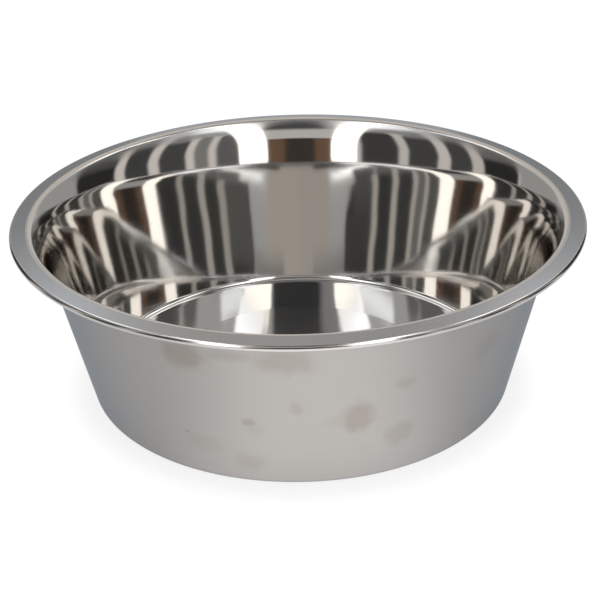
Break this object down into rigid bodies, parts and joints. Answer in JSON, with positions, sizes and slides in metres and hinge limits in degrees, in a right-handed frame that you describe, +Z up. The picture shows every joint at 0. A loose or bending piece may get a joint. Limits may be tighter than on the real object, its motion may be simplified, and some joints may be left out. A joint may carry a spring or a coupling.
{
  "type": "stainless steel pet bowl",
  "caption": "Round stainless steel pet bowl with a straight flared wall, a narrow rim with a rolled edge and a circle pressed in its floor, for food or water.",
  "frame": {"origin": "centre of the base, on the surface that the bowl stands on", "axes": "+Z up along the bowl's axis; X and Y are any two level directions, because the bowl is round"},
  "size_m": [0.28, 0.28, 0.091],
  "materials": {
    "polished_steel": "bright polished stainless steel with fine turning lines",
    "wall_steel": "stainless steel, bright polished inside and satin outside with faint water marks",
    "rim_steel": "satin stainless steel, brighter on the rolled edge"
  },
  "bodies": {
    "root": {"floor_disc": "polished_steel", "floor_ring": "polished_steel", "foot_ring": "polished_steel", "side_wall": "wall_steel", "flare_ring": "wall_steel", "neck_ring": "polished_steel", "rim_flange": "rim_steel", "rim_curl": "rim_steel"}
  },
  "joints": []
}
